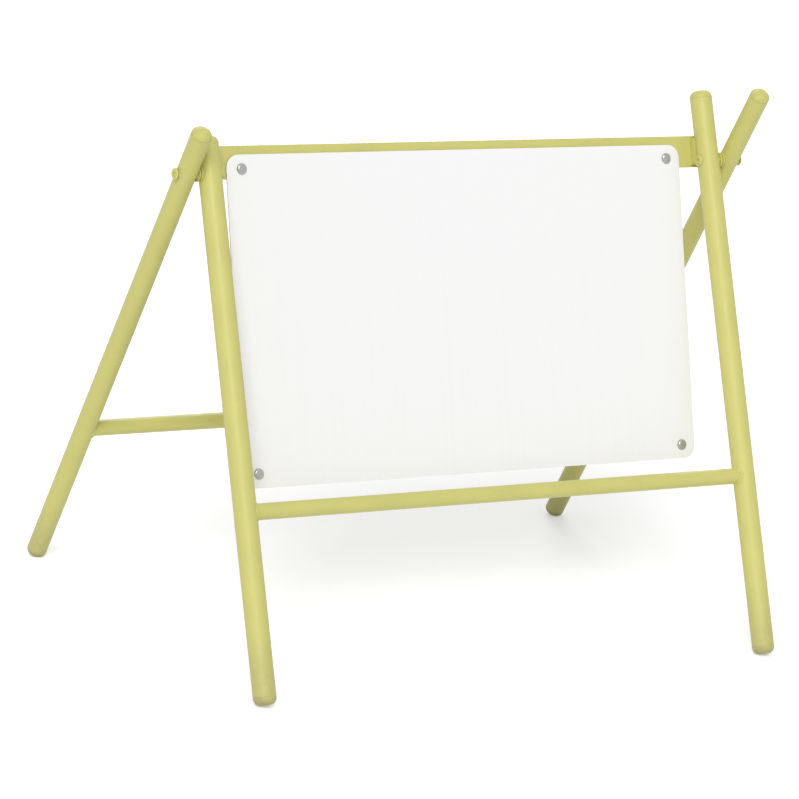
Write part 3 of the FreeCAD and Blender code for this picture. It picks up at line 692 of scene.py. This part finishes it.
def make_piece(name, points, slot, body="front_frame", replaced=None, loop=False, rubbed=None, second=None):
    """A closed surface through a grid of points whose columns run round it.

    The first and last rows are single points, unless the rows loop. Faces turn outward, by the sign of
    the volume they enclose. rubbed says from 0 to 1 how much wear each row gets, and second gives another
    finish and which rows take it.
    """
    rows, columns = points.shape[:2]
    row = np.arange(rows if loop else rows - 1)[:, None] * columns
    column = np.arange(columns)[None]
    after = (row + columns) % (rows * columns)
    beside = (column + 1) % columns
    corners = (row + column, row + beside, after + beside, after + column)
    quads = np.stack(corners, axis=-1).reshape(-1, 4)
    vertices = points.reshape(-1, 3)
    a, b, c, d = (vertices[quads[:, corner]] - vertices.mean(0) for corner in range(4))
    volume = (np.cross(a, b) * c).sum() + (np.cross(a, c) * d).sum()
    if volume < 0:
        quads = quads[:, ::-1]

    mesh = bpy.data.meshes.new(name)
    mesh.from_pydata(vertices, [], quads)
    mesh.materials.append(finish(SLOT_FINISHES[slot]))
    if second:
        other, marked = second
        mesh.materials.append(finish(other))
        index = np.repeat(marked[:len(row)], columns).astype(np.int32)
        mesh.polygons.foreach_set("material_index", index)
    if rubbed is not None:
        wear = mesh.attributes.new(RUBBED, "FLOAT", "POINT")
        wear.data.foreach_set("value", np.repeat(rubbed, columns).astype(np.float32))
    work = bmesh.new()
    work.from_mesh(mesh)
    bmesh.ops.remove_doubles(work, verts=work.verts, dist=MERGE)
    work.to_mesh(mesh)
    work.free()
    mesh.shade_smooth()
    mesh.set_sharp_from_angle(angle=SHARP)

    piece = bpy.data.objects.new(name, mesh)
    bpy.context.scene.collection.objects.link(piece)
    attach(piece, body)
    if replaced:
        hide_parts(replaced)


# Operators

class SIGN_OT_coated_nodes(Operator):
    """Give each solid, such as a leg, rail, saddle, bush or spacer, the finish of its material slot"""

    bl_idname = "a_frame_sign.coated_nodes"
    bl_label = "Coat the frame"

    def execute(self, context):
        for row in frame["record"]["subparts"]:
            solid = frame["nodes"][row["node"]]
            solid.material_slots[0].material = finish(SLOT_FINISHES[row["material_slot"]])
        return {"FINISHED"}


class SIGN_OT_plugs(Operator):
    """Mould the caps and feet that close the legs"""

    bl_idname = "a_frame_sign.plugs"
    bl_label = "Mould the plugs"

    def execute(self, context):
        sizes = settings().frame
        gate = sizes.gate_radius
        gate_floor, gate_depth, gate_edge = 0.9 * gate, gate / 8, gate / 20
        stem_edge = 1 * MM
        for pair in PAIRS:
            radius = of_legs(pair, "leg_diameter") / 2
            edge = of_legs(pair, "plug_edge")
            lean = of_legs(pair, "lean")
            tip = sizes.plug_band + edge
            stem = radius - sizes.leg_wall
            bore = stem - sizes.plug_wall
            sunk = tip - gate_depth
            corners = [
                (0, 0), (bore, 0), (bore, -sizes.plug_stem), (stem, -sizes.plug_stem), (stem, 0),
                (radius, 0), (radius, tip), (gate, tip), (gate_floor, sunk), (0, sunk),
            ]
            radii = [0, stem_edge, stem_edge, 0, sizes.plug_seam, edge, gate_edge, gate_edge]
            profile = rounded(corners, radii, steps=14)
            surface = turned(profile, count=120)
            rubbed = np.clip(profile[:, 1] / tip, 0, 1)
            # The lowest point of the leaning foot's round would lie a sole cut below the floor
            drop = sizes.hinge_height + sizes.sole_cut - edge - (radius - edge) * math.sin(lean)
            reach = edge + drop / math.cos(lean)
            for side in SIDES:
                leg = f"{pair}_{side}"
                x = leg_x(pair, side)
                cap = on_leg(surface, pair, x, of_legs(leg, "rise") - tip)
                foot = on_leg(surface, pair, x, tip - reach, down=True)
                # The foot is cut level with the floor
                foot[..., 2] = np.maximum(foot[..., 2], 0)
                for kind, points in (("cap", cap), ("foot", foot)):
                    node = f"{leg}_{kind}"
                    make_piece(
                        node + "_plug", points, "plug_plastic", pair + "_frame", node, rubbed=rubbed
                    )
        return {"FINISHED"}


class SIGN_OT_rail_welds(Operator):
    """Weld the round rails to the legs"""

    bl_idname = "a_frame_sign.rail_welds"
    bl_label = "Weld the rails"

    def execute(self, context):
        sizes = settings().frame
        turn = around(RAIL_SEAM)
        back, up = (sizes.rail_diameter / 2 * wave for wave in (np.cos(turn), np.sin(turn)))
        spread = np.stack([0 * turn, back, up], axis=-1)
        for pair, rail, drop in (
            ("front", "lower_rail", sizes.lower_rail_drop),
            ("rear", "rear_rail", sizes.rear_rail_drop),
        ):
            leg = of_legs(pair, "leg_diameter") / 2
            # Where the rail meets the leg: root of the leg's radius squared less the way back squared
            inward = np.sqrt(leg ** 2 - back ** 2)
            for side, sign in SIDES.items():
                seam = np.stack([-sign * inward, back, up], axis=-1)
                bead = bead_surface(seam, spread, sizes.weld_radius, sizes.weld_pitch, closed=True)
                points = on_leg(bead, pair, leg_x(pair, side), -drop)
                make_piece(f"{rail}_weld_{side}", points, "frame_paint", pair + "_frame", loop=True)
        return {"FINISHED"}


class SIGN_OT_saddle_welds(Operator):
    """Weld the saddles to the backs of the front legs"""

    bl_idname = "a_frame_sign.saddle_welds"
    bl_label = "Weld the saddles"

    def execute(self, context):
        panel = settings().panel
        pitch = settings().frame.weld_pitch
        leg = of_legs("front", "leg_diameter") / 2
        slant = of_legs("front", "lean") - panel.lean
        rise = rail_middle() + np.linspace(-0.5, 0.5, SADDLE_SEAM) * panel.saddle_height
        depth = panel_back() - panel.saddle_depth
        # Where the saddle's front meets the leg: root of the leg's radius squared less the way back squared
        aside = np.sqrt(leg ** 2 - (depth * math.cos(slant) - rise * math.sin(slant)) ** 2)
        for side, sign in SIDES.items():
            for edge, way in (("inner", -sign), ("outer", sign)):
                path = np.stack([way * aside, rise, 0 * rise], axis=-1)
                outward = np.broadcast_to([way, 0.0, 1.0], path.shape)
                bead = bead_surface(path, outward, panel.saddle_weld, pitch, closed=False)
                points = on_panel(bead, leg_x("front", side), 0, depth)
                make_piece(f"saddle_weld_{side}_{edge}", points, "frame_paint")
        return {"FINISHED"}


class SIGN_OT_flat_bars(Operator):
    """Make the flat top rail and the stiffener behind the panel"""

    bl_idname = "a_frame_sign.flat_bars"
    bl_label = "Make the flat bars"

    def execute(self, context):
        panel = settings().panel
        lower_bolts = panel.rise - panel.height + settings().fasteners.edge_inset
        for node, bar, middle in (
            ("top_rail", "rail", rail_middle()),
            ("panel_stiffener", "stiffener", lower_bolts),
        ):
            wide = getattr(panel, bar + "_length")
            high = getattr(panel, bar + "_height")
            thick = getattr(panel, bar + "_thickness")
            surface = plate_surface(wide, high, thick, panel.bar_corner, panel.bar_edge)
            rubbed = np.zeros(len(surface))
            rubbed[len(FACE_RINGS):-len(FACE_RINGS)] = 1
            points = on_panel(surface, 0, middle - high / 2, panel_back() + thick)
            make_piece(node + "_bar", points, "frame_paint", replaced=node, rubbed=rubbed)
        return {"FINISHED"}


class SIGN_OT_panel(Operator):
    """Make the blank sign panel, enamelled in front and bare behind"""

    bl_idname = "a_frame_sign.panel"
    bl_label = "Make the panel"

    def execute(self, context):
        panel = settings().panel
        surface = plate_surface(panel.width, panel.height, panel.thickness, panel.corner, panel.edge)
        bare = surface[:, 0, 2] < panel.thickness - panel.edge / 2
        points = on_panel(surface, 0, panel.rise - panel.height, panel_back())
        back = (mill_finish_aluminium, bare)
        make_piece("sign_panel_sheet", points, "panel_sheet", replaced="sign_panel", second=back)
        return {"FINISHED"}


class SIGN_OT_panel_bolts(Operator):
    """Make the cup-head bolts through the panel, threaded at their ends"""

    bl_idname = "a_frame_sign.panel_bolts"
    bl_label = "Make the panel bolts"

    def execute(self, context):
        sizes = settings().fasteners
        panel = settings().panel
        radius = sizes.bolt_diameter / 2
        pitch = sizes.thread_pitch
        thread_depth = 0.61 * pitch
        chamfer_length = 0.6 * pitch
        ring_gap = pitch / 12
        nut = sizes.nut_height + sizes.nut_collar_height
        turn = around(ROUND)[None]
        for place, x, rise, backing in bolt_places():
            grip = panel.thickness + backing + sizes.washer_thickness + nut
            reach = grip + sizes.bolt_end
            rows = headed_profile("bolt", radius, reach)
            head = rows[rows[:, 1] > -reach / 2]
            # In place of the stem's plain end comes a ridge that climbs one pitch in each turn, and that
            # fades at the chamfered tip
            climb = np.arange(-reach, -grip + 2 * pitch, ring_gap)[:, None]
            ridge = 0.5 - 0.5 * np.cos(TURN * climb / pitch - turn)
            chamfer = np.clip((climb + reach) / chamfer_length, 0, 1)
            thread = lathe(radius - thread_depth * (1 - ridge * chamfer), climb, turn)
            surface = np.concatenate([lathe(0, -reach, turn), thread, headed_surface(head)])
            points = on_panel(surface, x, rise, panel_back() - panel.thickness)
            make_piece("panel_cup_bolt_" + place, points, "zinc_steel", replaced="panel_bolt_" + place)
        return {"FINISHED"}


class SIGN_OT_lock_nuts(Operator):
    """Make the washers and the lock nuts behind the panel's bars"""

    bl_idname = "a_frame_sign.lock_nuts"
    bl_label = "Make the washers and nuts"

    def execute(self, context):
        thick = settings().fasteners.washer_thickness
        washer = self.washer()
        nut, insert = self.nut()
        for place, x, rise, backing in bolt_places():
            seat = panel_back() + backing
            for name, node, surface, depth, second in (
                ("flat_washer", "washer", washer, seat, None),
                ("lock_nut", "nut", nut, seat + thick, (natural_nylon, insert)),
            ):
                make_piece(
                    f"panel_{name}_{place}", on_panel(surface, x, rise, depth, to_back=True), "zinc_steel",
                    replaced=f"panel_{node}_{place}", loop=True, second=second,
                )
        return {"FINISHED"}

    def washer(self):
        """A stamped ring: its section with one edge rolled over by the punch, carried round Z."""
        sizes = settings().fasteners
        hole = sizes.washer_hole / 2
        rim = sizes.washer / 2
        thick = sizes.washer_thickness
        section = rounded(
            [(hole, thick / 2), (hole, 0), (rim, 0), (rim, thick), (hole, thick), (hole, thick / 2)],
            [thick / 10, thick / 6, thick / 3, thick / 10],
        )
        return turned(section[:-1])

    def nut(self):
        """A hexagon with a rolled collar round a dished nylon insert, and the rows that the insert takes.

        The hexagon's corners are cut by a cone at each end: the smaller of hexagon and cone is kept.
        """
        sizes = settings().fasteners
        bolt = sizes.bolt_diameter / 2
        corner = sizes.nut_flats / math.sqrt(3)
        flat = sizes.nut_flats / 2
        high = sizes.nut_height
        top = high + sizes.nut_collar_height
        collar = sizes.nut_collar / 2
        lip, dish, past_lip = (bolt + share * (collar - bolt) for share in (0.4, 0.3, 0.41))
        dip = 0.2 * MM
        bevel = 0.5 * (corner - flat)
        cone_slope = 1.3
        count = 96
        turn = around(count)[None]
        rising = np.linspace(0, 2 * bevel, 7)
        climb = np.concatenate([rising, high - rising[::-1]])[:, None]
        cone = flat - bevel / 2 + cone_slope * np.minimum(climb, high - climb)
        hexagonal = lathe(np.minimum(corner * hexagon(turn), cone), climb, turn)
        hollow = [(lip, top), (dish, top - dip), (bolt, top - 2 * dip), (bolt, 0)]
        rolled = rounded(
            [(collar, high), (collar, top), *hollow], [0.4 * (top - high), dip / 2, 0, dip / 2]
        )
        nut = np.concatenate([hexagonal, turned(rolled, count)])
        radius, _, level = nut[:, 0].T
        return nut, (level > high) & (radius < past_lip)


class SIGN_OT_rail_screws(Operator):
    """Make the button-head screws that hold the top rail to its saddles"""

    bl_idname = "a_frame_sign.rail_screws"
    bl_label = "Make the rail screws"

    def execute(self, context):
        sizes = settings().fasteners
        thick = settings().panel.rail_thickness
        stem, reach = sizes.screw_diameter / 2, thick + sizes.screw_bite
        surface = headed_surface(headed_profile("screw", stem, reach))
        for side, sign in SIDES.items():
            for place, way in (("outer", sign), ("inner", -sign)):
                x = leg_x("front", side) + way * sizes.screw_pitch / 2
                points = on_panel(surface, x, rail_middle(), panel_back() + thick, to_back=True)
                end = f"screw_{side}_{place}"
                make_piece("rail_button_" + end, points, "zinc_steel", replaced="rail_" + end)
        return {"FINISHED"}


class SIGN_OT_hinge_pins(Operator):
    """Make the hinge barrels and the screws that close them, coated with the frame"""

    bl_idname = "a_frame_sign.hinge_pins"
    bl_label = "Make the hinge pins"

    def execute(self, context):
        sizes = settings().fasteners
        for side, sign in SIDES.items():
            inner, outer = sorted(abs(corner.x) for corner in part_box(f"hinge_barrel_{side}"))
            seat = outer - sizes.pin_head_height
            for kind, stem, reach, x, way in (
                ("barrel", sizes.pin_diameter / 2, seat - inner, seat, sign),
                ("screw", sizes.pin_screw / 2, sizes.pin_screw_length, inner, -sign),
            ):
                surface = headed_surface(headed_profile("pin", stem, reach))
                points = on_hinge(surface, sign * x, way)
                end = f"{kind}_{side}"
                make_piece("hinge_socket_" + end, points, "frame_paint", replaced="hinge_" + end)
        return {"FINISHED"}


class SIGN_OT_studio(Operator):
    """Set the floor, the soft light and the camera"""

    bl_idname = "a_frame_sign.studio"
    bl_label = "Set up the studio"

    def execute(self, context):
        studio = settings().studio
        scene = context.scene
        scene.view_settings.view_transform = "Standard"
        self.lay_floor(scene, studio)
        self.light(scene, studio)
        self.aim(scene, studio)
        return {"FINISHED"}

    def seen(self, add):
        """1 for a ray that shows the background to the camera, directly or by gloss or glass."""
        path = add("LightPath", {})
        indirect = {0: path["Is Glossy Ray"], 1: path["Is Transmission Ray"]}
        mirrored = add("Math", indirect, operation="MAXIMUM")["Value"]
        return add("Math", {0: path["Is Camera Ray"], 1: mirrored}, operation="MAXIMUM")["Value"]

    def lay_floor(self, scene, studio):
        """A level square of pale painted board, lifted to white where it is seen but still shaded."""
        half = studio.floor / 2
        corners = [(-half, -half, 0), (half, -half, 0), (half, half, 0), (-half, half, 0)]
        mesh = bpy.data.meshes.new("studio_floor")
        mesh.from_pydata(corners, [], [(0, 1, 2, 3)])
        material = bpy.data.materials.new("pale_studio_board")
        add, shade = begin_nodes(material, "Principled BSDF")
        lift = add("Math", {0: self.seen(add), 1: studio.white}, operation="MULTIPLY")["Value"]
        pale = tinted(studio.board)
        shade({"Base Color": pale, "Roughness": 0.9, "Specular IOR Level": 0, "Emission Strength": lift})
        mesh.materials.append(material)
        floor = bpy.data.objects.new("studio_floor", mesh)
        scene.collection.objects.link(floor)

    def light(self, scene, studio):
        """An even white surround and two broad lamps, one ahead and one behind."""
        scene.world = bpy.data.worlds.new("soft_surround")
        add, shade = begin_nodes(scene.world, "Background")
        level = add("MapRange", {"Value": self.seen(add), "To Min": studio.fill, "To Max": 1})["Result"]
        shade({"Color": (1, 1, 1, 1), "Strength": level})
        for name in ("key", "back"):
            lamp = bpy.data.lights.new(name + "_lamp", "SUN")
            lamp.energy = getattr(studio, name)
            lamp.angle = studio.spread
            holder = bpy.data.objects.new(name + "_lamp", lamp)
            tilt = getattr(studio, name + "_tilt")
            holder.rotation_euler = (tilt, 0, getattr(studio, name + "_heading"))
            scene.collection.objects.link(holder)

    def aim(self, scene, studio):
        """The camera is rolled, backed off, raised and turned about its aim."""
        data = bpy.data.cameras.new("photo_camera")
        data.lens = studio.lens
        camera = bpy.data.objects.new("photo_camera", data)
        camera.matrix_world = (
            Matrix.Translation((studio.aim_x, 0, studio.aim_height))
            @ Matrix.Rotation(-studio.azimuth, 4, "Z")
            @ Matrix.Rotation(TURN / 4 - studio.elevation, 4, "X")
            @ Matrix.Translation((0, 0, studio.distance))
            @ Matrix.Rotation(studio.roll, 4, "Z")
        )
        scene.collection.objects.link(camera)
        scene.camera = camera


OPERATORS = (
    SIGN_OT_studio, SIGN_OT_coated_nodes, SIGN_OT_plugs, SIGN_OT_rail_welds, SIGN_OT_saddle_welds,
    SIGN_OT_flat_bars, SIGN_OT_panel, SIGN_OT_panel_bolts, SIGN_OT_lock_nuts, SIGN_OT_rail_screws,
    SIGN_OT_hinge_pins,
)


class SIGN_PT_maker(Panel):
    """The sign's operators and settings in the sidebar"""

    bl_idname = "SIGN_PT_maker"
    bl_label = "A-frame sign"
    bl_space_type = "VIEW_3D"
    bl_region_type = "UI"
    bl_category = "Sign"

    def draw(self, context):
        for operator in OPERATORS:
            self.layout.operator(operator.bl_idname)
        for group in SignSettings.__annotations__:
            values = getattr(settings(), group)
            box = self.layout.box()
            box.label(text=group.capitalize())
            for name in values.__annotations__:
                box.prop(values, name)


GROUPS = (FrameSizes, PanelSizes, FastenerSizes, Finishes, StudioSettings, SignSettings)
CLASSES = (*GROUPS, *OPERATORS, SIGN_PT_maker)


def register():
    """Make the classes and the scene's settings known."""
    for known in CLASSES:
        bpy.utils.register_class(known)
    bpy.types.Scene.a_frame_sign = grouped("A-frame sign", SignSettings)


def unregister():
    """Take the settings and the classes away again."""
    del bpy.types.Scene.a_frame_sign
    for known in reversed(CLASSES):
        bpy.utils.unregister_class(known)


def main():
    """Build the whole sign and its studio."""
    register()
    for operator in OPERATORS:
        group, name = operator.bl_idname.split(".")
        getattr(getattr(bpy.ops, group), name)()


if __name__ == "__main__":
    main()
